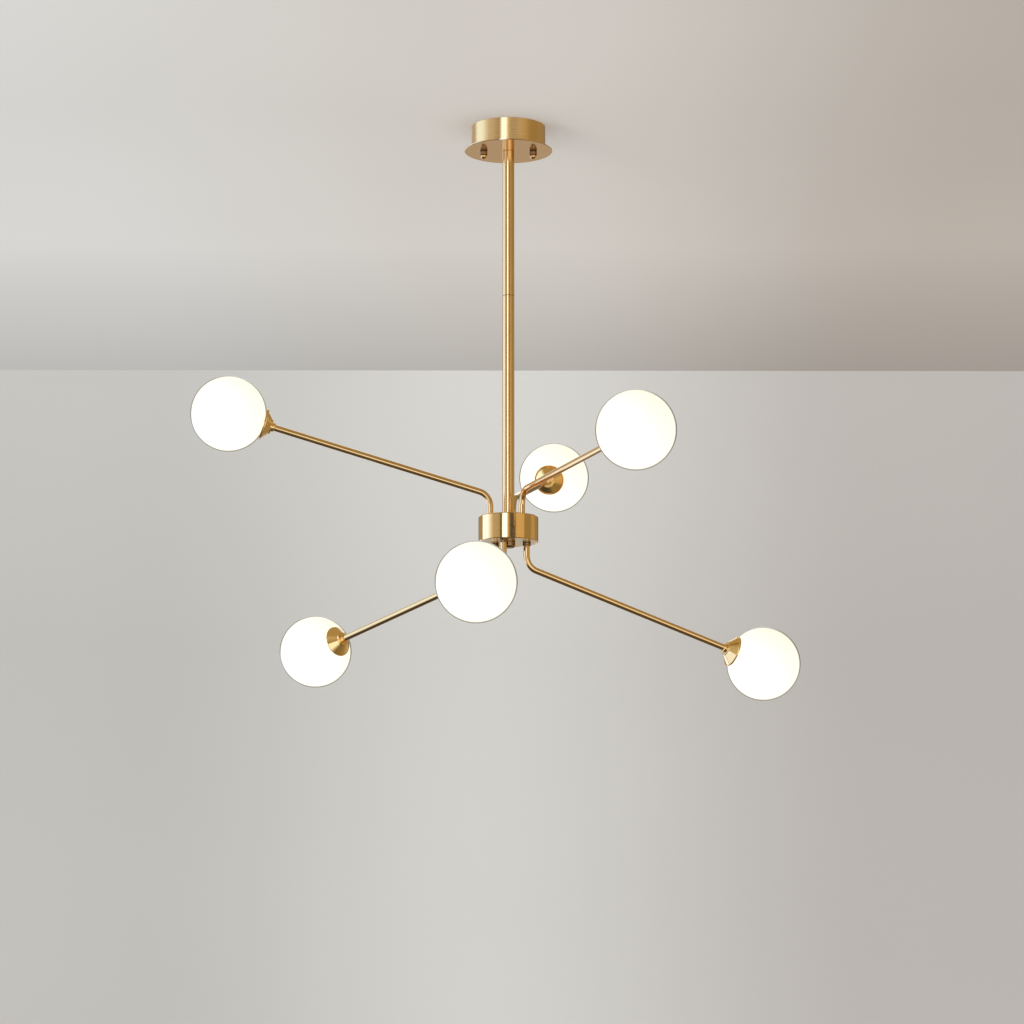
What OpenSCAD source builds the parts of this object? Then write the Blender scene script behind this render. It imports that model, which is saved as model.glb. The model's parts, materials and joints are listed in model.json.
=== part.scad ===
// Branch chandelier: a round ceiling canopy, a two-piece drop rod, a drum hub and six bent
// arms, three rising and three falling, each with a brass cup, a lamp holder and a glass globe.
// Millimetres. The origin is the centre of the canopy's ceiling face, +Z is up.

/* [Canopy] */
// Outside diameter of the canopy drum
canopy_d = 120; // [108:1:160]
// Depth of the canopy drum below the ceiling
canopy_h = 38; // [34:1:60]
// Wall of the spun canopy drum
canopy_wall = 1.2; // [0.8:0.1:2]
// How far the trim disc stands out past the drum
disc_overhang = 11; // [3:0.5:20]
// Thickness of the trim disc
disc_t = 2; // [1:0.5:4]
// Distance between the two canopy studs
stud_pitch = 80; // [70:1:84]
// Diameter of the canopy studs
stud_d = 4; // [3:0.5:5]
// Diameter of the knurled cap nuts
cap_nut_d = 12.4; // [10:0.2:16]
// Height of the knurled part of a cap nut
cap_nut_h = 7; // [5:0.5:10]
// Height of the domed tip of a cap nut
cap_nut_tip = 5; // [3:0.5:8]

/* [Ceiling strap] */
// Width of the ceiling strap
strap_w = 20; // [16:1:30]
// Thickness of the ceiling strap
strap_t = 2; // [1.5:0.5:3]
// Distance between the middles of the two screw slots
slot_pitch = 44; // [42:1:46]
// Length of each screw slot, end to end
slot_len = 10; // [8:1:11]
// Width of each screw slot
slot_w = 5; // [4:0.5:6]

/* [Drop rod] */
// Outside diameter of the drop rod
rod_d = 19; // [16:0.5:25]
// Wall of the drop rod
rod_wall = 1; // [0.8:0.1:1.5]
// Length of the upper rod piece
rod_upper_len = 240; // [100:5:600]
// Length of the lower rod piece
rod_lower_len = 360; // [100:5:800]
// Depth of the turned plug in each rod end
plug_h = 14; // [10:1:20]
// Outside diameter of the hollow nipples that join the rod
nipple_d = 10; // [9:0.5:11]
// Bore of the nipples
nipple_bore = 7.6; // [6.8:0.1:8]
// Diameter of the feed cable
cable_d = 6; // [4:0.5:6.4]

/* [Hub] */
// Outside diameter of the hub drum
hub_d = 95; // [90:1:130]
// Height of the hub drum
hub_h = 41; // [36:1:60]
// Wall of the hub drum
hub_wall = 3; // [2.5:0.5:4]
// Thickness of the hub's top and of its cover plate
hub_plate = 3; // [2:0.5:4]
// Bevel on the hub's outer edges
hub_bevel = 1.2; // [0.4:0.2:2]
// Radius of the circle that the arms stand on
arm_circle_r = 30; // [29:0.5:34]
// Diameter of the finial nut under the hub
finial_d = 22; // [16:1:28]
// Height of the finial nut
finial_h = 9.5; // [7:0.5:16]

/* [Arms] */
// Outside diameter of the arm tube
arm_d = 10; // [9:0.5:12]
// Wall of the arm tube
arm_wall = 1; // [0.8:0.1:1.5]
// Straight leg between the arm's shoulder and its bend
arm_leg = 16; // [8:1:40]
// Radius of the bend on the tube's centre line
arm_bend_r = 24; // [16:1:40]
// Straight run from the bend to the cup
arm_run = 345; // [200:5:500]
// Diameter of the spigot that turns in the hub
spigot_d = 8; // [7:0.5:8]
// Length of the spigot below the arm's shoulder
spigot_len = 15; // [13:1:17]
// Diameter of the swivel collar
collar_d = 13.6; // [12:0.2:16]
// Height of the swivel collar
collar_h = 5; // [3:0.5:6]
// Diameter of the two-core lead in each arm
lead_d = 4; // [3:0.5:4.5]
// Swing of the falling arms off the straight radial line
low_arm_swing = [5, 0, 9.5]; // [-30:0.5:30]
// Fall of the falling arms below the horizontal
low_arm_fall = [18.5, 12.5, 12]; // [3:0.5:30]
// Swing of the rising arms off the straight radial line
high_arm_swing = [5, -4.5, -23]; // [-30:0.5:30]
// Rise of the rising arms above the horizontal
high_arm_rise = [14.5, 15.5, 2.5]; // [2:0.5:30]

/* [Cup] */
// Diameter of the cup's rim, which seats on the globe
cup_rim_d = 50; // [46:1:60]
// Diameter of the cup's flat back
cup_back_d = 24; // [20:1:28]
// Depth of the cup from back to rim
cup_depth = 15; // [13:0.5:22]
// Wall of the cup
cup_wall = 1.4; // [1:0.1:2]
// Length of the sleeve that holds the arm tube
sleeve_len = 4; // [3:0.5:10]

/* [Globe] */
// Outside diameter of the glass globe
globe_d = 120; // [100:1:160]
// Wall of the glass
globe_wall = 2.5; // [2:0.5:4]
// Outside diameter of the glass neck
neck_d = 30; // [29:0.5:34]

/* [Lamp holder and bulb] */
// Diameter of the lamp holder
holder_d = 20; // [18:0.5:21]
// Length of the lamp holder
holder_len = 24; // [20:1:30]
// Diameter of the bulb
bulb_d = 17; // [14:0.5:19]
// Length of the bulb beyond the lamp holder
bulb_len = 50; // [36:1:60]
// Distance between the bulb's two pins
pin_pitch = 9; // [8:0.5:10]
// Diameter of a bulb pin
pin_d = 2.2; // [1.5:0.1:2.5]
// Length of the bulb pins
pin_len = 12; // [8:1:14]

/* [Hidden] */
$fn = 96;
arm_count = 6;
first_hole = 15;           // azimuth of the first arm's hole
hole_step = 360 / arm_count;
seat_gap = 0.3;            // between the glass or bulb and what it seats on
turn_gap = 0.1;            // above and below each swivel's plate
run_fit = 0.05;            // radial clearance of a spigot that turns in its hole
slip_fit = 0.1;            // radial clearance of fixed pieces on a nipple, stud or tube
hole_play = 0.3;           // radial clearance of the canopy's bolt holes
sink = 0.2;                // overlap that joins two shapes of one piece
over = 1;                  // how far a cut runs past the face that it opens
edge = 0.6;                // bevel on the edges of small turned pieces

strap_end = 10;            // from a stud's axis to the strap's end
stud_nut_af = 7;           // M4 nut, across flats
stud_nut_h = 3.2;
canopy_floor = 1.5;        // floor of the canopy drum
canopy_lip = 1;            // turned-in lip at the ceiling
canopy_edge = 1;           // bevel round the drum's floor
disc_bevel = 0.5;
disc_z = -canopy_h - disc_t;
tip_d = 6.4;               // domed tip of a cap nut
nut_step = 0.8;            // bevel from a cap nut's barrel to its tip
nut_roof = 0.5;            // room over a stud's end in its cap nut
block_l = 28;              // terminal block
block_w = 15;
block_h = 12;
way_pitch = 8.5;           // between the three ways of the terminal block
way_d = 4;
way_depth = 6;

nut_af = 14;               // thin nut for the nipples, across flats
nut_h = 4;
nipple_spare = 6;          // thread of the top nipple that shows past its nut
nipple_up = nut_h + nipple_spare;
plug_spare = 2;            // blind end of a rod plug that its nipple leaves free
nipple_in = plug_h - plug_spare;
rod_in_d = rod_d - 2 * rod_wall;
seam = 0.5;                // bevel at the ends of the rods
rod_top = disc_z;
rod_mid = rod_top - rod_upper_len;
hub_top = rod_mid - rod_lower_len;
hub_bot = hub_top - hub_h;
cover_inset = 0.5;         // the cover plate lies this far inside the hub's edge
cover_z = hub_bot + cover_inset;
cover_ledge = 1.5;         // step in the hub wall that the cover seats on
cover_d = hub_d - 2 * (hub_wall - cover_ledge) - 2 * slip_fit;
window_h = 16;             // wire window in the hub nipple
window_w = 4;
window_drop = 3;           // from the nut inside the hub to the wire window
window_z = hub_top - hub_plate - nut_h - window_drop - window_h;
finial_flat_d = 13.6;      // flat in the middle of the finial's dome
finial_dome_h = 4.3;
finial_roof = 2.5;         // metal over the finial's blind hole
nipple_end = cover_z - finial_h + finial_roof + seat_gap;
wire_cap_d = 7;            // crimped cap on a wire joint
wire_cap_tip_d = 4.9;
wire_cap_h = 14;
wire_cap_r = 15;           // radius of the circle that the caps stand on

arm_nut_af = 12;           // locknut of an arm, across flats
arm_nut_h = 4;
spigot_bore = lead_d + 1;
stub_h = 2;                // the shank's stub reaches this far into the tube
joint_gap = 0.1;           // groove between leg and tube
stack_gap = 0.05;          // between a collar and the nut that tightens on it
sheath_t = 0.4;            // thickness of a lead's sheath
arm_bore = arm_d - 2 * arm_wall;
lead_tail = 3;             // lead that shows past the spigot in the hub
lead_end = -spigot_len - lead_tail;

sleeve_t = 2;              // wall of the cup's sleeve
cup_step = 0.8;            // bevel at the cup's back
cup_back_band = 1.2;       // straight band between that bevel and the flare
rim_band = 0.9;            // straight band at the cup's rim
rim_edge = 0.3;            // bevel on that band
globe_r = globe_d / 2;
rim_in_r = cup_rim_d / 2 - cup_wall;
globe_z = cup_depth + sqrt(pow(globe_r + seat_gap, 2) - pow(rim_in_r, 2));
back_in_r = cup_back_d / 2 - cup_wall;
flare_r = cup_rim_d / 2 - rim_edge;                  // outer end of the flare
flare_z = cup_depth - rim_band - 2 * rim_edge;
flare_back_z = cup_step + cup_back_band;
flare_slope = (flare_z - flare_back_z) / (flare_r - cup_back_d / 2);
flare_t = cup_wall * sqrt(1 + pow(flare_slope, 2));  // wall of the flare, measured upright
neck_z = flare_in(neck_d / 2 + 2 * seat_gap);
neck_bore = neck_d - 2 * globe_wall;
grip_h = 4;                // grip ring of the lamp holder, inside the neck
grip_inset = 0.5;          // from the end of the neck to the grip ring
grip_z = neck_z + grip_inset;
flange_t = 1.2;            // least height of the holder's foot, which fits the cup's back
socket_room = 1;           // room under a pin in the lamp holder
holder_end = cup_wall + holder_len;
flange_d = 2 * (back_in_r - seat_gap);
flange_z = max(cup_wall + flange_t, flare_in(holder_d / 2 + 2 * seat_gap));
pin_play = 0.4;            // radial clearance of a pin in the lamp holder
bulb_z = holder_end + seat_gap;
foot_h = 7;                // ceramic foot of the bulb
foot_d = 13;
foot_taper = 2;            // height of the shoulder from foot to glass

arm_nodes = ["arm_tube", "arm_fixings", "arm_lead", "arm_cup", "lamp_holder", "bulb", "globe"];

brass = [0.80, 0.62, 0.32];
steel = [0.72, 0.73, 0.74];
dark_brass = [0.52, 0.38, 0.16];
opal = [0.98, 0.97, 0.92];
ceramic = [0.93, 0.92, 0.88];
nylon = [0.90, 0.90, 0.88];
cable_grey = [0.78, 0.76, 0.72];

// ---- shapes used more than once ----

// A ring standing on z = 0
module ring(outer, inner, height) {
    difference() {
        cylinder(d = outer, h = height);
        translate([0, 0, -over]) cylinder(d = inner, h = height + 2 * over);
    }
}

// A disc whose two outer edges are bevelled, standing on z = 0
module bevelled_disc(diameter, height, bevel) {
    r = diameter / 2;
    rotate_extrude()
        polygon([[0, 0], [r - bevel, 0], [r, bevel], [r, height - bevel],
                 [r - bevel, height], [0, height]]);
}

// A hexagon nut standing on z = 0
module hex_nut(across_flats, height, bore) {
    difference() {
        cylinder(d = across_flats / cos(30), h = height, $fn = 6);
        translate([0, 0, -over]) cylinder(d = bore, h = height + 2 * over);
    }
}

// The two stud positions, one on each side of the rod
module at_studs() {
    for (side = [-1, 1]) translate([side * stud_pitch / 2, 0, 0]) children();
}

// ---- ceiling fixing ----

module ceiling_strap() {
    color(steel)
    translate([0, 0, -strap_t])
    linear_extrude(strap_t)
    difference() {
        square([stud_pitch + 2 * strap_end, strap_w], center = true);
        for (side = [-1, 1]) {
            for (end = [-1, 1])
                translate([side * slot_pitch / 2 + end * (slot_len - slot_w) / 2, 0])
                    circle(d = slot_w);
            translate([side * slot_pitch / 2, 0])
                square([slot_len - slot_w, slot_w], center = true);
            translate([side * stud_pitch / 2, 0]) circle(d = stud_d + 2 * slip_fit);
        }
    }
}

module canopy_studs() {
    color(steel) at_studs()
        translate([0, 0, disc_z - cap_nut_h]) cylinder(d = stud_d, h = cap_nut_h - disc_z);
}

module stud_nuts() {
    color(steel) at_studs()
        translate([0, 0, -strap_t - stud_nut_h])
            hex_nut(stud_nut_af, stud_nut_h, stud_d + 2 * slip_fit);
}

// Three-way block for the house wiring, hung under the middle of the strap
module terminal_block() {
    color(nylon)
    translate([0, 0, -strap_t - block_h])
    difference() {
        translate([-block_l / 2, -block_w / 2, 0]) cube([block_l, block_w, block_h]);
        for (way = [-1:1]) for (side = [-1, 1])
            translate([way * way_pitch, side * (block_w / 2 + over), block_h / 2])
                rotate([side * 90, 0, 0]) cylinder(d = way_d, h = way_depth + over);
    }
}

// Spun cup, open to the ceiling, with a turned-in lip and a flat floor
module canopy_drum() {
    r = canopy_d / 2;
    color(brass)
    difference() {
        rotate_extrude()
            polygon([[0, -canopy_h], [r - canopy_edge, -canopy_h], [r, -canopy_h + canopy_edge], [r, 0],
                     [r - canopy_wall - canopy_lip, 0], [r - canopy_wall - canopy_lip, -canopy_wall],
                     [r - canopy_wall, -canopy_wall], [r - canopy_wall, -canopy_h + canopy_floor],
                     [0, -canopy_h + canopy_floor]]);
        translate([0, 0, -canopy_h - over]) {
            cylinder(d = nipple_d + 2 * slip_fit, h = canopy_floor + 2 * over);
            at_studs() cylinder(d = stud_d + 2 * hole_play, h = canopy_floor + 2 * over);
        }
    }
}

module canopy_disc() {
    color(brass)
    translate([0, 0, disc_z])
    difference() {
        bevelled_disc(canopy_d + 2 * disc_overhang, disc_t, disc_bevel);
        translate([0, 0, -over]) {
            cylinder(d = nipple_d + 2 * slip_fit, h = disc_t + 2 * over);
            at_studs() cylinder(d = stud_d + 2 * hole_play, h = disc_t + 2 * over);
        }
    }
}

// Blind cap nuts: a knurled barrel that ends in a small domed tip
module cap_nuts() {
    r = cap_nut_d / 2;
    tip_r = tip_d / 2;
    dome = [for (a = [0:15:90]) [tip_r * cos(a), -cap_nut_h - cap_nut_tip + tip_r * (1 - sin(a))]];
    color(dark_brass)
    translate([0, 0, disc_z])
    at_studs()
    difference() {
        rotate_extrude()
            polygon(concat([[0, 0], [r - edge, 0], [r, -edge], [r, -cap_nut_h + nut_step],
                            [r - nut_step, -cap_nut_h], [tip_r, -cap_nut_h]], dome));
        translate([0, 0, -cap_nut_h - nut_roof])
            cylinder(d = stud_d + 2 * slip_fit, h = cap_nut_h + nut_roof + over);
    }
}

// ---- drop rod ----

// Thin nuts: one on the canopy floor, one under the hub's top
module nipple_nuts() {
    color(steel)
    for (z = [-canopy_h + canopy_floor, hub_top - hub_plate - nut_h])
        translate([0, 0, z]) hex_nut(nut_af, nut_h, nipple_d + 2 * slip_fit);
}

// Hollow nipples: one holds the canopy to the upper rod, one joins the two rods
module rod_nipples() {
    top = -canopy_h + canopy_floor + nipple_up;
    color(steel) {
        translate([0, 0, rod_top - nipple_in])
            ring(nipple_d, nipple_bore, top - rod_top + nipple_in);
        translate([0, 0, rod_mid - nipple_in])
            ring(nipple_d, nipple_bore, 2 * nipple_in);
    }
}

// Long nipple through the hub, with a window that lets the wires out
module hub_nipple() {
    top = hub_top + nipple_in;
    color(steel)
    difference() {
        translate([0, 0, nipple_end]) ring(nipple_d, nipple_bore, top - nipple_end);
        translate([-nipple_d, -window_w / 2, window_z]) cube([2 * nipple_d, window_w, window_h]);
    }
}

// Turned plugs that close the rod ends round the nipples
module rod_plugs() {
    color(steel)
    for (z = [rod_top - plug_h - seam, rod_mid + seam, rod_mid - plug_h - seam, hub_top + seam])
        translate([0, 0, z]) ring(rod_in_d - slip_fit, nipple_d + 2 * slip_fit, plug_h);
}

// A tube whose two ends are bevelled, so that a joint shows as a fine dark line
module rod_piece(bottom, length) {
    r = rod_d / 2;
    in_r = rod_in_d / 2;
    color(brass)
    translate([0, 0, bottom])
    rotate_extrude()
        polygon([[in_r, 0], [r - seam, 0], [r, seam], [r, length - seam],
                 [r - seam, length], [in_r, length]]);
}

module rod_upper() {
    rod_piece(rod_mid, rod_upper_len);
}

module rod_lower() {
    rod_piece(hub_top, rod_lower_len);
}

// Feed cable, from the terminal block down through the rods to the hub's wire window
module feed_cable() {
    bottom = window_z + window_h / 2;
    color(cable_grey)
        translate([0, 0, bottom]) cylinder(d = cable_d, h = -strap_t - block_h - bottom);
}

// ---- hub ----

// Azimuth of arm i's hole, counted from +X; even arms fall, odd arms rise
function hole_az(i) = first_hole + hole_step * i;
function rises(i) = i % 2 == 1;

module at_holes(high) {
    for (i = [0:arm_count - 1]) if (rises(i) == high)
        rotate([0, 0, hole_az(i)]) translate([arm_circle_r, 0, 0]) children();
}

// Bevelled drum, open below, with a ledge for the cover plate
module hub_drum() {
    r = hub_d / 2;
    in_r = r - hub_wall;
    ledge_z = cover_z + hub_plate;
    color(brass)
    difference() {
        rotate_extrude()
            polygon([[0, hub_top], [r - hub_bevel, hub_top], [r, hub_top - hub_bevel],
                     [r, hub_bot + hub_bevel], [r - hub_bevel / 2, hub_bot],
                     [in_r + cover_ledge, hub_bot], [in_r + cover_ledge, ledge_z],
                     [in_r, ledge_z], [in_r, hub_top - hub_plate], [0, hub_top - hub_plate]]);
        translate([0, 0, hub_top - hub_plate - over]) {
            cylinder(d = nipple_d + 2 * slip_fit, h = hub_plate + 2 * over);
            at_holes(true) cylinder(d = spigot_d + 2 * run_fit, h = hub_plate + 2 * over);
        }
    }
}

module hub_cover() {
    color(brass)
    translate([0, 0, cover_z])
    difference() {
        cylinder(d = cover_d, h = hub_plate);
        translate([0, 0, -over]) {
            cylinder(d = nipple_d + 2 * slip_fit, h = hub_plate + 2 * over);
            at_holes(false) cylinder(d = spigot_d + 2 * run_fit, h = hub_plate + 2 * over);
        }
    }
}

// Domed blind nut that holds the cover plate up
module hub_finial() {
    r = finial_d / 2;
    flat_r = finial_flat_d / 2;
    dome = [for (a = [0:15:90])
        [flat_r + (r - flat_r) * cos(a), -finial_h + finial_dome_h * (1 - sin(a))]];
    color(brass)
    translate([0, 0, cover_z])
    difference() {
        rotate_extrude()
            polygon(concat([[0, 0], [r - edge, 0], [r, -edge]], dome, [[0, -finial_h]]));
        translate([0, 0, -finial_h + finial_roof])
            cylinder(d = nipple_d + 2 * slip_fit, h = finial_h);
    }
}

// Three crimped caps on the wire joints, standing on the cover plate
module wire_caps() {
    color(nylon)
    translate([0, 0, cover_z + hub_plate])
    for (i = [0:arm_count - 1]) if (rises(i))
        rotate([0, 0, hole_az(i)]) translate([wire_cap_r, 0, 0])
            cylinder(d1 = wire_cap_d, d2 = wire_cap_tip_d, h = wire_cap_h);
}

// ---- arms ----

function swing(i) = rises(i) ? high_arm_swing[(i - 1) / 2] : low_arm_swing[i / 2];
function slope(i) = rises(i) ? high_arm_rise[(i - 1) / 2] : low_arm_fall[i / 2];

// Height of the arm's shoulder over the plate: the collar of a falling arm lies under it
function shoulder(i) = rises(i) ? turn_gap : collar_h + turn_gap;

// Moves a shape to arm i: z = 0 is the arm's shoulder, +Z runs along its leg, away from the
// hub, and +X is the way the arm points
module at_arm(i) {
    translate([0, 0, rises(i) ? hub_top : cover_z])
        rotate([0, 0, hole_az(i)])
            translate([arm_circle_r, 0, 0])
                rotate([0, 0, swing(i)])
                    mirror([0, 0, rises(i) ? 0 : 1])
                        translate([0, 0, shoulder(i)]) children();
}

// Moves a shape to the end of arm i's bend, with +Z along the straight run, away from the hub
module at_run(i) {
    a = slope(i);
    at_arm(i)
        translate([arm_bend_r * (1 - sin(a)), 0, arm_leg + arm_bend_r * cos(a)])
            rotate([0, 90 - a, 0]) children();
}

// Moves a shape to the end of arm i's tube, with +Z along the tube, away from the hub
module at_tip(i) {
    at_run(i) translate([0, 0, arm_run]) children();
}

// Bend and straight run of arm i, for a flat outline given as children
module bend_and_run(i, length) {
    at_run(i) {
        linear_extrude(length) children();
        translate([arm_bend_r, 0, 0])
            rotate([90, 0, 0])
                rotate_extrude(angle = 90 - slope(i), start = 180)
                    translate([arm_bend_r, 0]) children();
    }
}

// Bent tube, soldered onto a turned shank: the leg, the spigot that turns in the hub, and a
// short stub inside the tube's wall, with a fine groove where leg and tube meet
module arm_tube(i) {
    leg_r = arm_d / 2;
    stub_r = (arm_d + arm_bore) / 4;
    bore_r = spigot_bore / 2;
    leg_end = arm_leg - joint_gap;
    color(brass) {
        bend_and_run(i, arm_run) difference() {
            circle(d = arm_d);
            circle(d = arm_bore);
        }
        at_arm(i)
        rotate_extrude()
            polygon([[bore_r, -spigot_len], [spigot_d / 2, -spigot_len], [spigot_d / 2, 0],
                     [leg_r, 0], [leg_r, leg_end], [stub_r, leg_end],
                     [stub_r, arm_leg + stub_h], [bore_r, arm_leg + stub_h]]);
    }
}

// Swivel collar and locknut: both inside the hub on a rising arm, one on each side of the
// cover plate on a falling arm
module arm_fixings(i) {
    inner = -shoulder(i) - hub_plate - turn_gap;
    collar_z = rises(i) ? inner - collar_h : -collar_h;
    nut_z = (rises(i) ? collar_z - stack_gap : inner) - arm_nut_h;
    color(dark_brass)
    at_arm(i) {
        translate([0, 0, collar_z]) difference() {
            bevelled_disc(collar_d, collar_h, edge);
            translate([0, 0, -over]) cylinder(d = spigot_d + 2 * slip_fit, h = collar_h + 2 * over);
        }
        translate([0, 0, nut_z]) hex_nut(arm_nut_af, arm_nut_h, spigot_d + 2 * slip_fit);
    }
}

// Two-core lead, from the hub through the arm to the back of the lamp holder: it is bare of
// its sheath below the bend
module arm_lead(i) {
    color(cable_grey) {
        bend_and_run(i, arm_run + cup_wall) circle(d = lead_d);
        at_arm(i)
            translate([0, 0, lead_end])
                cylinder(d = lead_d - 2 * sheath_t, h = arm_leg + stub_h - lead_end);
    }
}

// Height of the flare's inner face at radius r
function flare_in(r) = flare_z + (r - flare_r) * flare_slope + flare_t;

// Flared cup of one wall, with a sleeve for the arm tube
module arm_cup(i) {
    rim_r = cup_rim_d / 2;
    back_r = cup_back_d / 2;
    sleeve_in = arm_d / 2 + slip_fit;
    color(brass)
    at_tip(i)
    rotate_extrude()
        polygon([[sleeve_in, -sleeve_len], [sleeve_in + sleeve_t - edge, -sleeve_len],
                 [sleeve_in + sleeve_t, -sleeve_len + edge], [sleeve_in + sleeve_t, 0],
                 [back_r - cup_step, 0], [back_r, cup_step], [back_r, flare_back_z],
                 [flare_r, flare_z], [rim_r, flare_z + rim_edge], [rim_r, cup_depth - rim_edge],
                 [flare_r, cup_depth], [rim_in_r, cup_depth], [rim_in_r, flare_in(rim_in_r)],
                 [back_in_r, flare_in(back_in_r)], [back_in_r, cup_wall],
                 [lead_d / 2 + slip_fit, cup_wall],
                 [lead_d / 2 + slip_fit, 0], [sleeve_in, 0]]);
}

// Lamp holder with two pin sockets, a foot in the cup's back, and the grip ring that the
// glass neck pushes onto
module lamp_holder(i) {
    r = holder_d / 2;
    foot_r = flange_d / 2;
    grip_r = neck_bore / 2 - seat_gap;
    color(ceramic)
    at_tip(i)
    difference() {
        rotate_extrude()
            polygon([[0, cup_wall], [foot_r, cup_wall], [foot_r, flange_z], [r, flange_z],
                     [r, grip_z], [grip_r - edge, grip_z], [grip_r, grip_z + edge],
                     [grip_r, grip_z + grip_h - edge], [grip_r - edge, grip_z + grip_h],
                     [r, grip_z + grip_h], [r, holder_end - edge], [r - edge, holder_end],
                     [0, holder_end]]);
        for (side = [-1, 1])
            translate([side * pin_pitch / 2, 0, holder_end - pin_len - socket_room])
                cylinder(d = pin_d + 2 * pin_play, h = pin_len + socket_room + over);
    }
}

// Capsule bulb: a domed glass on a ceramic foot with two pins
module bulb(i) {
    r = bulb_d / 2;
    dome = [for (a = [0:15:90]) [r * cos(a), bulb_len - r * (1 - sin(a))]];
    color(opal)
    at_tip(i)
    translate([0, 0, bulb_z]) {
        rotate_extrude()
            polygon(concat([[0, 0], [foot_d / 2, 0], [foot_d / 2, foot_h], [r, foot_h + foot_taper]],
                           dome));
        for (side = [-1, 1])
            translate([side * pin_pitch / 2, 0, -pin_len]) cylinder(d = pin_d, h = pin_len + sink);
    }
}

// Blown glass globe with a short open neck
module globe(i) {
    in_r = globe_r - globe_wall;
    color(opal)
    at_tip(i)
    difference() {
        union() {
            translate([0, 0, globe_z]) sphere(r = globe_r);
            translate([0, 0, neck_z]) cylinder(d = neck_d, h = globe_z - neck_z);
        }
        translate([0, 0, globe_z]) sphere(r = in_r);
        translate([0, 0, neck_z - over]) cylinder(d = neck_bore, h = globe_z - neck_z);
    }
}

// ---- the part ----

ceiling_strap();
canopy_studs();
stud_nuts();
terminal_block();
canopy_drum();
canopy_disc();
cap_nuts();
nipple_nuts();
rod_nipples();
hub_nipple();
rod_plugs();
rod_upper();
rod_lower();
hub_drum();
hub_cover();
hub_finial();
feed_cable();
wire_caps();
for (i = [0:arm_count - 1]) {
    arm_tube(i);
    arm_fixings(i);
    arm_lead(i);
    arm_cup(i);
    lamp_holder(i);
    bulb(i);
    globe(i);
}
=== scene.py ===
"""Branch chandelier: the look of the CAD model, in metres, in the CAD's own frame.

The origin is the centre of the canopy's ceiling face, +Z is up and the photo was taken from -Y.
"""
import json
import math

import bmesh
import bpy
from mathutils import Matrix, Vector

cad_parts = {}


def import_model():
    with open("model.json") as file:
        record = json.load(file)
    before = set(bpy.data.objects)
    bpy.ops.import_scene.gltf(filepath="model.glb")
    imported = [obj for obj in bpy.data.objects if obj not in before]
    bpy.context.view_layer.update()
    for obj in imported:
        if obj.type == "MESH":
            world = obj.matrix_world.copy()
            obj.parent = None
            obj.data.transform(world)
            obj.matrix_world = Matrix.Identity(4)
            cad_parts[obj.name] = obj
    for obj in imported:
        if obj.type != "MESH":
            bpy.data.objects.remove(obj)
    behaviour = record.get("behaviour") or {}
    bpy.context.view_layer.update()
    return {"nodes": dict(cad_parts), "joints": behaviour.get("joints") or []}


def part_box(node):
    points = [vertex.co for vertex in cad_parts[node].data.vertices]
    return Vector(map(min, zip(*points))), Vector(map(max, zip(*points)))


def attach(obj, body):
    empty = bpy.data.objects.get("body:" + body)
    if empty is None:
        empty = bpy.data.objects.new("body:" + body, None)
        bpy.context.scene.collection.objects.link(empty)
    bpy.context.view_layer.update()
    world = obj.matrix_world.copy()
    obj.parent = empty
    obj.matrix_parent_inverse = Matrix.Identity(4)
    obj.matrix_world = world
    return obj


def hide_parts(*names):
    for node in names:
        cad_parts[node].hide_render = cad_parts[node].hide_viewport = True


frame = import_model()
scene = bpy.context.scene
nodes = frame["nodes"]
ARMS = range(1, 7)


# ---- small helpers ----

def adder(tree):
    """A function that adds a node to the tree and sets its sockets and settings by name."""
    def add(kind, **values):
        node = tree.nodes.new(kind)
        for key, value in values.items():
            if key in node.inputs:
                node.inputs[key].default_value = value
            else:
                setattr(node, key, value)
        return node

    return add


def tree_of(name):
    """A new material, its empty node tree, and a function that adds nodes to it."""
    mat = bpy.data.materials.new(name)
    mat.use_nodes = True
    mat.node_tree.nodes.clear()
    return mat, mat.node_tree, adder(mat.node_tree)


def between(tree, source, low, high):
    """How far source has come from low to high, from 0 to 1."""
    share = tree.nodes.new("ShaderNodeMapRange")
    share.inputs["From Min"].default_value = low
    share.inputs["From Max"].default_value = high
    tree.links.new(source, share.inputs["Value"])
    return share.outputs["Result"]


def ramp(add, stops, mode="LINEAR"):
    """A colour ramp with stops of (position, value or colour)."""
    node = add("ShaderNodeValToRGB")
    node.color_ramp.interpolation = mode
    band = node.color_ramp.elements
    while len(band) < len(stops):
        band.new(0.5)
    for spot, (place, value) in zip(band, stops):
        spot.position = place
        rgb = value if isinstance(value, tuple) else (value,) * 3
        spot.color = (*rgb, 1)
    return node


def dress(node, mat):
    """Gives a CAD node its material."""
    slots = nodes[node].data.materials
    slots.clear()
    slots.append(mat)


def globe_place(i):
    """The way that arm i points, and the centre of its globe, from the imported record."""
    joints = {j["name"]: j for j in frame["joints"]}
    way = Vector(joints[f"globe_{i}_pull"]["axis"]).normalized()
    low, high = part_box(f"globe_{i}")
    return way, (Vector(low) + Vector(high)) / 2


# ---- materials ----
# A Mix node's sockets by number: 0 is the factor, 2 and 3 its two floats, 6 and 7 its two colours

LINE_BREAKS = 1.3     # how often a brush line changes along its way, to the radian


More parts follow.
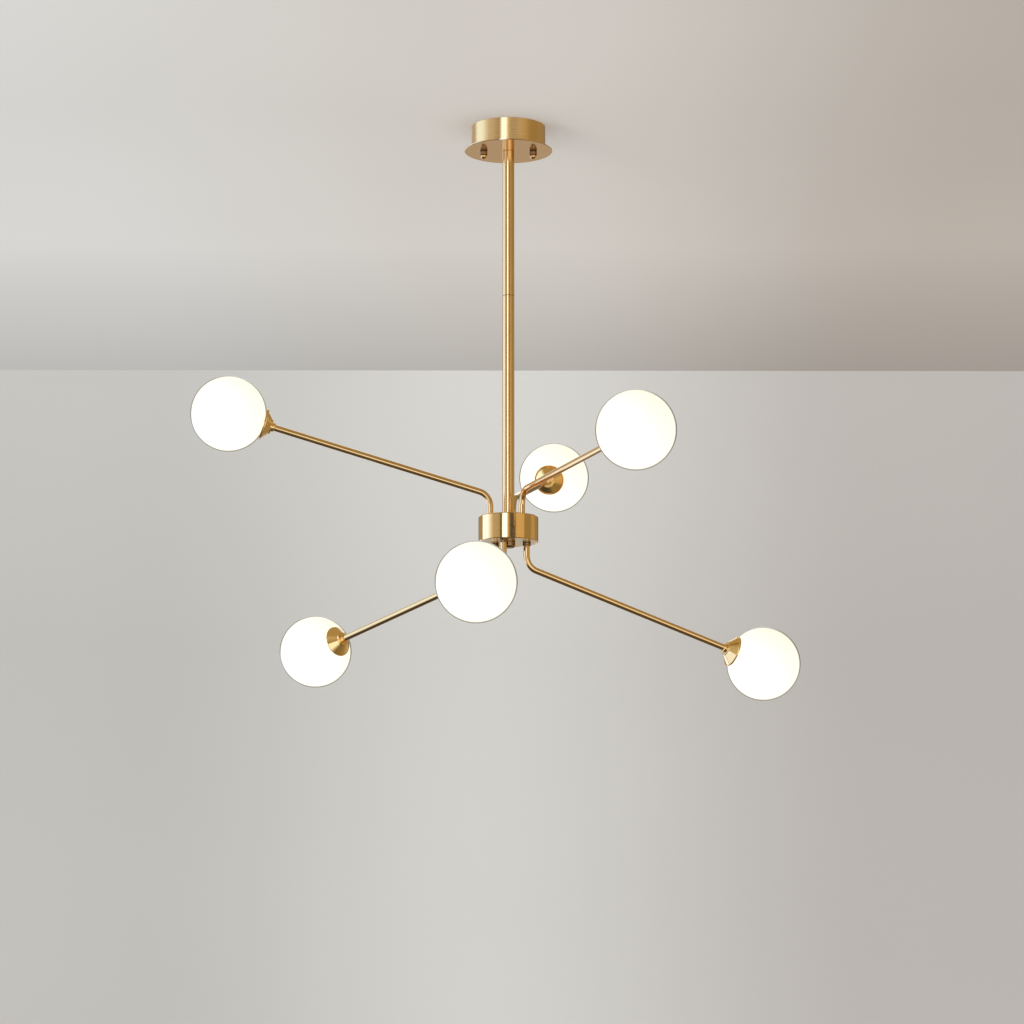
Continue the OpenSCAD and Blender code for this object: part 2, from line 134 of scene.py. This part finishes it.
def brass(name, base, rough, grain, lines=1400.0, ringed=True, bump=0.1, aniso=0.0):
    """Satin brass: fine brush lines, slow changes of tone, and a little wear in the gloss.

    ringed runs the lines round the Z axis, lines to the metre; otherwise the grain is even. aniso
    draws highlights out across the lines."""
    mat, tree, add = tree_of(name)
    link = tree.links.new
    coords = add("ShaderNodeTexCoord")
    if ringed:
        xyz = add("ShaderNodeSeparateXYZ")
        link(coords.outputs["Object"], xyz.inputs[0])
        angle = add("ShaderNodeMath", operation="ARCTAN2")
        link(xyz.outputs["Y"], angle.inputs[0])
        link(xyz.outputs["X"], angle.inputs[1])
        flat = add("ShaderNodeVectorMath", operation="LENGTH")
        level = add("ShaderNodeVectorMath", operation="MULTIPLY")
        level.inputs[1].default_value = (1, 1, 0)
        link(coords.outputs["Object"], level.inputs[0])
        link(level.outputs[0], flat.inputs[0])
        line_xyz = add("ShaderNodeCombineXYZ")
        for source, factor, socket in ((angle.outputs[0], LINE_BREAKS, "X"),
                                       (flat.outputs["Value"], lines, "Y"),
                                       (xyz.outputs["Z"], lines, "Z")):
            scaled = add("ShaderNodeMath", operation="MULTIPLY")
            scaled.inputs[1].default_value = factor
            link(source, scaled.inputs[0])
            link(scaled.outputs[0], line_xyz.inputs[socket])
        fine = add("ShaderNodeTexNoise", Scale=1.0, Detail=3.0, Roughness=0.6)
        link(line_xyz.outputs[0], fine.inputs["Vector"])
    else:
        fine = add("ShaderNodeTexNoise", Scale=lines, Detail=3.0, Roughness=0.6)
        link(coords.outputs["Object"], fine.inputs["Vector"])
    slow = add("ShaderNodeTexNoise", Scale=14.0, Detail=4.0, Roughness=0.55)
    link(coords.outputs["Object"], slow.inputs["Vector"])

    tone = ramp(add, [(0.30, tuple(c * (1 - grain) for c in base)), (0.55, base),
                      (0.80, tuple(min(1.0, c * (1 + grain * 0.6)) for c in base))])
    mix = add("ShaderNodeMix", data_type="FLOAT")
    mix.inputs[0].default_value = 0.35
    link(fine.outputs["Fac"], mix.inputs[2])
    link(slow.outputs["Fac"], mix.inputs[3])
    link(mix.outputs[0], tone.inputs["Fac"])

    gloss = add("ShaderNodeMapRange")
    gloss.inputs["From Min"].default_value = 0.3
    gloss.inputs["From Max"].default_value = 0.7
    gloss.inputs["To Min"].default_value = rough * 0.8
    gloss.inputs["To Max"].default_value = rough * 1.25
    link(mix.outputs[0], gloss.inputs["Value"])

    relief = add("ShaderNodeBump", Strength=bump, Distance=0.00004)
    link(fine.outputs["Fac"], relief.inputs["Height"])

    shader = add("ShaderNodeBsdfPrincipled", Metallic=1.0)
    link(tone.outputs["Color"], shader.inputs["Base Color"])
    link(gloss.outputs["Result"], shader.inputs["Roughness"])
    link(relief.outputs["Normal"], shader.inputs["Normal"])
    if aniso:
        shader.inputs["Anisotropic"].default_value = aniso
        shader.inputs["Anisotropic Rotation"].default_value = 0.25
        tangent = add("ShaderNodeTangent", direction_type="RADIAL", axis="Z")
        link(tangent.outputs[0], shader.inputs["Tangent"])
    out = add("ShaderNodeOutputMaterial")
    link(shader.outputs[0], out.inputs["Surface"])
    return mat


def plain(name, base, rough, metallic=0.0, coat=0.0):
    """A moulded, glazed or plated surface with a fine even grain."""
    mat, tree, add = tree_of(name)
    link = tree.links.new
    coords = add("ShaderNodeTexCoord")
    noise = add("ShaderNodeTexNoise", Scale=900.0, Detail=2.0)
    link(coords.outputs["Object"], noise.inputs["Vector"])
    tone = ramp(add, [(0.3, tuple(c * 0.94 for c in base)), (0.7, base)])
    link(noise.outputs["Fac"], tone.inputs["Fac"])
    relief = add("ShaderNodeBump", Strength=0.08, Distance=0.00005)
    link(noise.outputs["Fac"], relief.inputs["Height"])
    shader = add("ShaderNodeBsdfPrincipled", Metallic=metallic, Roughness=rough)
    shader.inputs["Coat Weight"].default_value = coat
    link(tone.outputs["Color"], shader.inputs["Base Color"])
    link(relief.outputs["Normal"], shader.inputs["Normal"])
    out = add("ShaderNodeOutputMaterial")
    link(shader.outputs[0], out.inputs["Surface"])
    return mat


def opal(name, glow, strength, rim=None):
    """Lit opal glass: milky body, clear skin, and a faint cloudiness from the blowing.

    rim is a painted edge grey: where the glass is seen edge-on, its colour is painted towards this grey
    and its glow painted out to black. This is painted shade that stands in for the darker room seen
    through the clear skin of a cased globe."""
    mat, tree, add = tree_of(name)
    link = tree.links.new
    coords = add("ShaderNodeTexCoord")
    cloud = add("ShaderNodeTexNoise", Scale=18.0, Detail=3.0, Roughness=0.5)
    link(coords.outputs["Object"], cloud.inputs["Vector"])
    tone = ramp(add, [(0.3, tuple(c * 0.985 for c in glow)), (0.7, glow)])
    link(cloud.outputs["Fac"], tone.inputs["Fac"])
    body = glowing = tone.outputs["Color"]
    if rim:
        # Painted shade: towards the edge the colour is painted towards the grey and the glow out to black
        facing = add("ShaderNodeLayerWeight", Blend=0.5)
        edge = ramp(add, [(0.70, 0.0), (0.82, 1.0)])
        link(facing.outputs["Facing"], edge.inputs["Fac"])

        def towards(colour):
            mix = add("ShaderNodeMix", data_type="RGBA")
            link(edge.outputs["Color"], mix.inputs[0])
            link(tone.outputs["Color"], mix.inputs[6])
            mix.inputs[7].default_value = (*colour, 1)
            return mix.outputs[2]

        body, glowing = towards(rim), towards((0.0, 0.0, 0.0))
    shader = add("ShaderNodeBsdfPrincipled", Roughness=0.18)
    shader.inputs["Specular IOR Level"].default_value = 0.15 if rim else 0.5
    shader.inputs["Emission Strength"].default_value = strength
    link(body, shader.inputs["Base Color"])
    link(glowing, shader.inputs["Emission Color"])
    out = add("ShaderNodeOutputMaterial")
    link(shader.outputs[0], out.inputs["Surface"])
    return mat


gold = (0.80, 0.50, 0.18)
MAT = {
    "canopy": brass("brushed_brass_canopy", gold, 0.28, 0.10, aniso=0.8),
    "hub": brass("brushed_brass_hub", gold, 0.11, 0.10, aniso=0.7),
    # The underside's brass is paler than the drum's: partly a lighter brass, partly painted reflection of
    # the room below it
    "disc": brass("satin_brass_underside", (0.80, 0.54, 0.27), 0.14, 0.05, lines=900.0),
    "rod": brass("brushed_brass_rod", gold, 0.16, 0.08, aniso=0.6),
    "arm": brass("satin_brass_arm", gold, 0.11, 0.06, ringed=False, lines=500.0, bump=0.04),
    "cup": brass("satin_brass_cup", (0.95, 0.62, 0.22), 0.13, 0.06, ringed=False, lines=600.0, bump=0.05),
    "cover": brass("satin_brass_cover", (0.90, 0.82, 0.63), 0.22, 0.05, lines=900.0),
    "nut": brass("polished_brass_nut", (0.74, 0.45, 0.15), 0.10, 0.08, ringed=False, lines=800.0),
    # The dark brass is painted shade: a darker tone that stands in for the shade and dark reflections on
    # the finial, the arm fixings and the cap nuts' barrels
    "dark": brass("painted_shade_dark_brass", (0.30, 0.17, 0.06), 0.13, 0.18, ringed=False, lines=800.0),
    # Near-black brass for the painted shadow in the groove between the rods
    "seam": brass("painted_shadow_seam", (0.10, 0.06, 0.03), 0.45, 0.15, ringed=False, lines=800.0),
    "steel": plain("zinc_plated_steel", (0.62, 0.63, 0.64), 0.32, metallic=1.0),
    "nylon": plain("matt_nylon", (0.84, 0.84, 0.81), 0.55),
    "cable": plain("cable_sheath", (0.72, 0.70, 0.66), 0.50),
    "ceramic": plain("glazed_ceramic", (0.90, 0.89, 0.85), 0.22, coat=0.5),
    "bulb": opal("frosted_bulb", (1.0, 0.97, 0.90), 0.9),
    # The globes' grey edge is painted shade
    "globe": opal("lit_opal_glass", (1.0, 0.985, 0.82), 0.66, rim=(0.29, 0.28, 0.26)),
}

WEAR = {
    "canopy": ("canopy_drum",), "hub": ("hub_drum",), "disc": ("canopy_disc",),
    "rod": ("rod_upper", "rod_lower"), "cover": ("hub_cover",), "nut": ("cap_nuts",),
    "dark": ("hub_finial",),
    "steel": ("ceiling_strap", "canopy_studs", "stud_nuts", "nipple_nuts", "rod_nipples", "hub_nipple",
              "rod_plugs"),
    "nylon": ("terminal_block", "wire_caps"), "cable": ("feed_cable",),
}
for finish, names in WEAR.items():
    for name in names:
        dress(name, MAT[finish])
# The arm fixings wear the dark brass, which is painted shade
for i in ARMS:
    for name, finish in (("arm_tube", "arm"), ("arm_fixings", "dark"), ("arm_lead", "cable"),
                         ("arm_cup", "cup"), ("lamp_holder", "ceramic"), ("bulb", "bulb"),
                         ("globe", "globe")):
        dress(f"{name}_{i}", MAT[finish])
    nodes[f"globe_{i}"].visible_glossy = False    # the photo's hub shows no lit globe in its gloss


# ---- pieces that the CAD model keeps plain ----

def turned(name, profile, at, way, body, mat, sides=96, ridges=0, depth=0.0, rows=(0, 0)):
    """A turned piece: profile is (radius, distance along way) in mm from the point at, in metres.

    A profile that ends where it starts makes a ring; any other is closed by flat ends. ridges cuts
    that many crossed grooves each way round, depth mm deep, where the distance lies in rows."""
    mesh = bpy.data.meshes.new(name)
    form = bmesh.new()
    rings = []
    for r, z in profile:
        ring = []
        for k in range(sides):
            turn = 2 * math.pi * k / sides
            cut = 0.0
            if ridges and rows[0] <= z <= rows[1]:
                slope = (z - rows[0]) / KNURL_PITCH * math.pi
                crest = min(abs(math.sin(ridges * turn / 2 + slope)),
                            abs(math.sin(ridges * turn / 2 - slope)))
                cut = depth * (1 - crest)
            ring.append(form.verts.new(((r - cut) * math.cos(turn), (r - cut) * math.sin(turn), z)))
        rings.append(ring)
    for low, high in zip(rings, rings[1:]):
        for k in range(sides):
            form.faces.new((low[k], low[(k + 1) % sides], high[(k + 1) % sides], high[k]))
    if profile[0] == profile[-1]:
        bmesh.ops.remove_doubles(form, verts=form.verts, dist=1e-6)
    else:
        form.faces.new(rings[0][::-1])
        form.faces.new(rings[-1])
    bmesh.ops.recalc_face_normals(form, faces=form.faces)
    form.to_mesh(mesh)
    form.free()
    spin = Vector((0, 0, 1)).rotation_difference(Vector(way)).to_matrix().to_4x4()
    mesh.transform(Matrix.Translation(at) @ spin @ Matrix.Scale(0.001, 4))
    mesh.shade_smooth()
    mesh.set_sharp_from_angle(angle=math.radians(SHARP))
    obj = bpy.data.objects.new(name, mesh)
    scene.collection.objects.link(obj)
    obj.data.materials.append(mat)
    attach(obj, body)
    return obj


def arc(cr, cz, radius, start, end, steps):
    """Points of a profile round (cr, cz), angles in degrees from outwards towards +way."""
    return [(cr + radius * math.cos(math.radians(start + (end - start) * k / steps)),
             cz + radius * math.sin(math.radians(start + (end - start) * k / steps)))
            for k in range(steps + 1)]


DOWN = (0, 0, -1)
KNURL = {"sides": 120, "ridges": 30, "depth": 0.35, "rows": (0.9, 6.0)}
KNURL_PITCH = 1.1     # mm along a knurl from one crossing of its grooves to the next
SHARP = 35            # degrees at which two faces of a turned piece meet in an edge
CUP_BACK = 0.0706     # from the globe's centre back to the cup's back
CUP_MOUTH = 0.0563    # from the globe's centre back to the cup's rolled lip

# Knurled cap nuts: a crossed knurl round the barrel, a groove and a smooth ball end
low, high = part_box("cap_nuts")
nut_x = (high.x - low.x) / 2 - (high.y - low.y) / 2
barrel = [(4.6, 0.0), (5.4, 0.3)] + [(6.0, 0.6 + 0.27 * k) for k in range(22)] + [(5.2, 6.7), (4.5, 6.9)]
ball = [(4.5, 6.9), (4.5, 7.3)] + arc(0.0, 7.7, 4.9, -2, 88, 12)
# Each barrel wears the dark brass, painted shade for the dark floor that it mirrors; the ball end is
# polished brass
for side, x in (("left", -nut_x), ("right", nut_x)):
    at = (x, (low.y + high.y) / 2, high.z)
    for part, form, mat in (("barrel", barrel, "dark"), ("ball", ball, "nut")):
        piece = turned(f"cap_nut_{side}_{part}", form, at, DOWN, "frame", MAT[mat], **KNURL)
        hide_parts("cap_nuts")

# Painted shadow: a near-black ring between the two rods, in the groove that their bevels leave
low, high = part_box("rod_upper")
groove = [(9.15, -0.45), (9.32, -0.45), (9.32, 0.45), (9.15, 0.45), (9.15, -0.45)]
turned("rod_seam", groove, (0, 0, low.z), DOWN, "frame", MAT["seam"])

# Turned ferrule on each tube, against the back of the cup, and the rolled lip round the cup's mouth
ferrule = ([(5.04, 0.1), (5.04, -3.0)] + arc(5.6, -2.4, 0.6, -90, 0, 4) + [(6.2, -1.9), (5.7, -1.6),
           (6.4, -1.3)] + arc(6.4, -0.7, 0.5, -60, 60, 6) + [(6.4, 0.1), (5.04, 0.1)])
lip = arc(24.55, 0.0, 0.75, 0, 360, 16)
lip[-1] = lip[0]
for i in ARMS:
    way, centre = globe_place(i)
    turned(f"ferrule_{i}", ferrule, centre - way * CUP_BACK, way, f"arm_{i}", MAT["cup"])
    turned(f"cup_lip_{i}", lip, centre - way * CUP_MOUTH, way, f"arm_{i}", MAT["cup"])


# ---- room, light and camera ----

WALL_Y = 1.885        # back wall
FRONT_Y = -9.0        # front edge of ceiling and floor
FLOOR_Z = -2.6
CEILING_Z = 0.0008    # a hair above the canopy's face
HALF = 7.0            # half the room's width
SIDE = 0.8            # how far to either side the paint's colours are given
LIFT = 0.34           # how much of the paint's colour shows whatever light falls on it
MAX_FADE = 1.25       # most that a fade brightens the paint


def plane(name, corner, side_a, side_b, mat):
    """A flat stage piece with corner, corner + side_a and corner + side_b as corners."""
    a, b, c = Vector(corner), Vector(side_a), Vector(side_b)
    mesh = bpy.data.meshes.new(name)
    mesh.from_pydata([a, a + b, a + b + c, a + c], [], [(0, 1, 2, 3)])
    obj = bpy.data.objects.new(name, mesh)
    scene.collection.objects.link(obj)
    obj.data.materials.append(mat)
    obj.visible_glossy = False
    return obj


def paint(name, across, along="Y", span=(0.0, 1.0), fade=((0.0, 1.0), (1.0, 1.0))):
    """Matt paint with a little light of its own, which falls on nothing.

    across is the colour at x = -SIDE, 0 and SIDE, and fade scales it over a span along another axis.
    From behind the paint is clear, so that the room doesn't hide the object."""
    mat, tree, add = tree_of(name)
    link = tree.links.new

    def times(first, second):
        product = add("ShaderNodeMix", data_type="RGBA", blend_type="MULTIPLY")
        product.inputs[0].default_value = 1
        link(first, product.inputs[6])
        link(second, product.inputs[7])
        return product.outputs[2]

    coords = add("ShaderNodeTexCoord")
    place = add("ShaderNodeSeparateXYZ")
    link(coords.outputs["Object"], place.inputs[0])
    sides = ramp(add, [(0.0, across[0]), (0.5, across[1]), (1.0, across[2])], "EASE")
    link(between(tree, place.outputs["X"], -SIDE, SIDE), sides.inputs["Fac"])
    depth = ramp(add, [(stop, value / MAX_FADE) for stop, value in fade])
    link(between(tree, place.outputs[along], *span), depth.inputs["Fac"])
    noise = add("ShaderNodeTexNoise", Scale=1.2, Detail=2.0)
    link(coords.outputs["Object"], noise.inputs["Vector"])
    mottle = ramp(add, [(0.3, 0.97), (0.7, 1.0)])
    link(noise.outputs["Fac"], mottle.inputs["Fac"])
    tone = times(times(sides.outputs["Color"], depth.outputs["Color"]), mottle.outputs["Color"])
    full = add("ShaderNodeVectorMath", operation="SCALE", Scale=MAX_FADE)
    link(tone, full.inputs[0])
    tone = full.outputs[0]

    matt = add("ShaderNodeBsdfDiffuse")
    link(tone, matt.inputs["Color"])
    glow = add("ShaderNodeEmission")
    link(tone, glow.inputs["Color"])
    path = add("ShaderNodeLightPath")
    lift = add("ShaderNodeMath", operation="MULTIPLY")
    lift.inputs[1].default_value = LIFT
    link(path.outputs["Is Camera Ray"], lift.inputs[0])
    link(lift.outputs[0], glow.inputs["Strength"])
    front = add("ShaderNodeAddShader")
    link(matt.outputs[0], front.inputs[0])
    link(glow.outputs[0], front.inputs[1])
    clear = add("ShaderNodeBsdfTransparent")
    side = add("ShaderNodeNewGeometry")
    mix = add("ShaderNodeMixShader")
    link(side.outputs["Backfacing"], mix.inputs[0])
    link(front.outputs[0], mix.inputs[1])
    link(clear.outputs[0], mix.inputs[2])
    out = add("ShaderNodeOutputMaterial")
    link(mix.outputs[0], out.inputs["Surface"])
    return mat


# Painted shade and light: the ceiling is painted darker and warmer towards the right and fades towards
# the back wall, and the wall is painted darker at both sides and brightens towards the ceiling
ceiling_paint = paint("ceiling_paint", ((0.61, 0.61, 0.60), (0.59, 0.565, 0.535), (0.46, 0.415, 0.375)),
                      span=(WALL_Y - 2.0, WALL_Y), fade=((0.0, 1.0), (0.45, 1.08), (1.0, 0.82)))
wall_paint = paint("wall_paint", ((0.54, 0.535, 0.52), (0.67, 0.67, 0.655), (0.54, 0.52, 0.50)),
                   along="Z", span=(-1.2, 0.0), fade=((0.0, 1.0), (0.5, 1.0), (1.0, 1.14)))
floor_paint = paint("floor_paint", ((0.60, 0.57, 0.53),) * 3)
plane("ceiling", (-HALF, FRONT_Y, CEILING_Z), (0, WALL_Y - FRONT_Y, 0), (2 * HALF, 0, 0), ceiling_paint)
wall = plane("wall", (-HALF, WALL_Y, FLOOR_Z), (2 * HALF, 0, 0), (0, 0, CEILING_Z - FLOOR_Z), wall_paint)
floor = plane("floor", (-HALF, FRONT_Y, FLOOR_Z), (2 * HALF, 0, 0), (0, WALL_Y - FRONT_Y, 0), floor_paint)
for backdrop in (wall, floor):
    backdrop.visible_diffuse = False      # they throw no colour back on the object


TOP = 6.0             # brightest light in the studio that metal and glass mirror
BEYOND = (0.62, 0.60, 0.58, 1)        # what the camera sees past the room
SOFT_TINT, SOFT = (1.0, 0.985, 0.96, 1), 0.62


def world():
    """Soft even light, and for metal and glass the studio round it: a tall window to the left, a
    narrow one in front, a warm room to the right, a darker back and a dark floor.

    The studio is made of rings of light, one above another: floor_ring, low, below, level, high and
    an even warm ceiling."""
    made = bpy.data.worlds.new("studio")
    made.use_nodes = True
    made.cycles.sampling_method = "NONE"
    tree = made.node_tree
    tree.nodes.clear()
    link = tree.links.new
    add = adder(tree)

    def round_the_room(stops):
        """Light by azimuth in degrees, 0 towards the camera and 90 to its right."""
        band = ramp(add, [((az + 180) / 360, tuple(v / TOP for v in light)) for az, light in stops])
        link(share, band.inputs["Fac"])
        return band.outputs["Color"]

    def blend(factor, low, high):
        """Passes from low to high, each a light or a socket, as factor goes from 0 to 1."""
        mix = add("ShaderNodeMix", data_type="RGBA")
        link(factor, mix.inputs[0])
        for socket, value in ((mix.inputs[6], low), (mix.inputs[7], high)):
            if isinstance(value, tuple):
                socket.default_value = (*(v / TOP for v in value), 1)
            else:
                link(value, socket)
        return mix.outputs[2]

    coords = add("ShaderNodeTexCoord")
    xyz = add("ShaderNodeSeparateXYZ")
    link(coords.outputs["Generated"], xyz.inputs[0])
    back = add("ShaderNodeMath", operation="MULTIPLY")
    back.inputs[1].default_value = -1
    link(xyz.outputs["Y"], back.inputs[0])
    azimuth = add("ShaderNodeMath", operation="ARCTAN2")
    link(xyz.outputs["X"], azimuth.inputs[0])
    link(back.outputs[0], azimuth.inputs[1])
    share = between(tree, azimuth.outputs[0], -math.pi, math.pi)

    def grey(value):
        return (value, value * 0.98, value * 0.96)

    def warm(value):
        return (value, value * 0.84, value * 0.55)

    left, front, low_left = (1.6, 2.2, 4.4), (2.4, 3.2, 6.0), (1.0, 1.3, 2.4)
    high_left = (1.1, 1.6, 2.6)
    stone = (0.53, 0.46, 0.38)
    beside = [
        (-162, stone), (-157, (0.9, 1.0, 1.3)), (-150, (1.5, 1.9, 3.2)), (-134, (1.4, 1.8, 3.0)),
        (-127, grey(0.6)), (-118, low_left), (-70, low_left), (-46, (1.1, 1.35, 2.2)), (-36, grey(0.60)),
        (-14, grey(0.60)), (-5, (1.1, 1.25, 1.8)), (20, (1.35, 1.5, 2.1)), (40, (1.15, 1.2, 1.6)),
        (66, warm(0.60)), (110, warm(0.35)), (150, stone)]
    floor_ring = round_the_room([
        (-180, grey(0.12)), (-140, grey(0.07)), (-80, grey(0.07)), (-40, warm(0.14)), (10, warm(0.14)),
        (30, warm(0.10)), (55, warm(0.22)), (110, warm(0.30)), (145, warm(0.16)), (180, grey(0.12))])
    low = round_the_room([(-180, warm(0.12)), (-168, warm(0.12))] + beside + [(180, warm(0.12))])
    below = round_the_room([(-180, stone)] + beside + [(180, stone)])
    level = round_the_room([
        (-180, grey(0.13)), (-152, warm(0.42)), (-121, warm(0.46)), (-114, left), (-88, left),
        (-66, grey(0.85)), (-58, grey(0.58)), (-35, grey(0.55)), (-30, warm(0.12)), (-25, warm(0.15)),
        (-22, front), (-8, front), (-3, warm(1.0)), (4, warm(0.35)), (8, warm(0.03)), (24, warm(0.03)),
        (32, warm(0.8)), (61, warm(0.8)), (66, warm(0.40)), (94, warm(0.40)), (101, warm(0.60)),
        (118, warm(0.58)), (127, warm(0.40)), (150, warm(0.34)), (162, warm(0.12)), (180, grey(0.13))])
    high = round_the_room([
        (-180, grey(1.4)), (-173, grey(1.3)), (-166, grey(0.5)), (-130, grey(0.55)), (-116, high_left),
        (-88, high_left), (-66, grey(0.60)), (-35, grey(0.50)), (-30, warm(0.30)), (-25, warm(0.30)),
        (-22, front), (-8, front), (-3, warm(0.60)), (5, warm(0.40)), (60, warm(0.40)), (100, warm(0.38)),
        (127, warm(0.38)), (150, grey(0.30)), (160, warm(0.12)), (166, grey(0.6)), (173, grey(1.4)),
        (180, grey(1.4))])
    # Each pair of heights, as sines of the angle above level, is where one light passes into the next
    height = xyz.outputs["Z"]
    light = blend(between(tree, height, -0.37, -0.31), low, below)
    light = blend(between(tree, height, 0.05, 0.13), light, level)
    light = blend(between(tree, height, 0.19, 0.26), light, high)
    light = blend(between(tree, height, 0.62, 0.80), light, warm(0.42))
    light = blend(between(tree, height, -0.60, -0.35), floor_ring, light)

    seen = add("ShaderNodeBackground")
    seen.inputs["Color"].default_value = BEYOND
    bright = add("ShaderNodeBackground")
    bright.inputs["Strength"].default_value = TOP
    link(light, bright.inputs["Color"])
    soft = add("ShaderNodeBackground")
    soft.inputs["Color"].default_value = SOFT_TINT
    soft.inputs["Strength"].default_value = SOFT
    path = add("ShaderNodeLightPath")
    glossy = add("ShaderNodeMixShader")
    link(path.outputs["Is Glossy Ray"], glossy.inputs[0])
    link(soft.outputs[0], glossy.inputs[1])
    link(bright.outputs[0], glossy.inputs[2])
    camera = add("ShaderNodeMixShader")
    link(path.outputs["Is Camera Ray"], camera.inputs[0])
    link(glossy.outputs[0], camera.inputs[1])
    link(seen.outputs[0], camera.inputs[2])
    out = add("ShaderNodeOutputWorld")
    link(camera.outputs[0], out.inputs["Surface"])
    return made


scene.world = world()


def softbox(name, place, aim, size, watts, colour=(1, 0.97, 0.92)):
    """A rectangular lamp at place that faces aim, and that neither camera nor metal sees."""
    lamp = bpy.data.lights.new(name, "AREA")
    lamp.shape = "RECTANGLE"
    lamp.size, lamp.size_y = size
    lamp.energy = watts
    lamp.color = colour
    obj = bpy.data.objects.new(name, lamp)
    scene.collection.objects.link(obj)
    obj.location = place
    obj.rotation_mode = "QUATERNION"
    obj.rotation_quaternion = (Vector(aim) - Vector(place)).to_track_quat("-Z", "Y")
    obj.visible_camera = False
    obj.visible_glossy = False


softbox("key_left", place=(-2.6, -2.4, -1.5), aim=(0, 0, -0.35), size=(1.2, 1.6), watts=36)

PHOTO_F = 3341.7      # focal length of the photo, in pixels
PHOTO_W = 1024        # width of the photo, in pixels
EYE = (-0.02294, -5.23666, -1.52172)
PITCH = 9.643         # degrees that the photo looks up
YAW = -0.314          # degrees that it is turned about +Z, so a little to the right of +Y
SENSOR = 36
camera_data = bpy.data.cameras.new("camera")
camera_data.sensor_width = SENSOR
camera_data.lens = SENSOR * PHOTO_F / PHOTO_W
camera_data.clip_start, camera_data.clip_end = 0.05, 60
camera = bpy.data.objects.new("camera", camera_data)
scene.collection.objects.link(camera)
camera.location = EYE
camera.rotation_euler = (math.radians(90 + PITCH), 0, math.radians(YAW))
scene.camera = camera

scene.view_settings.view_transform = "Standard"
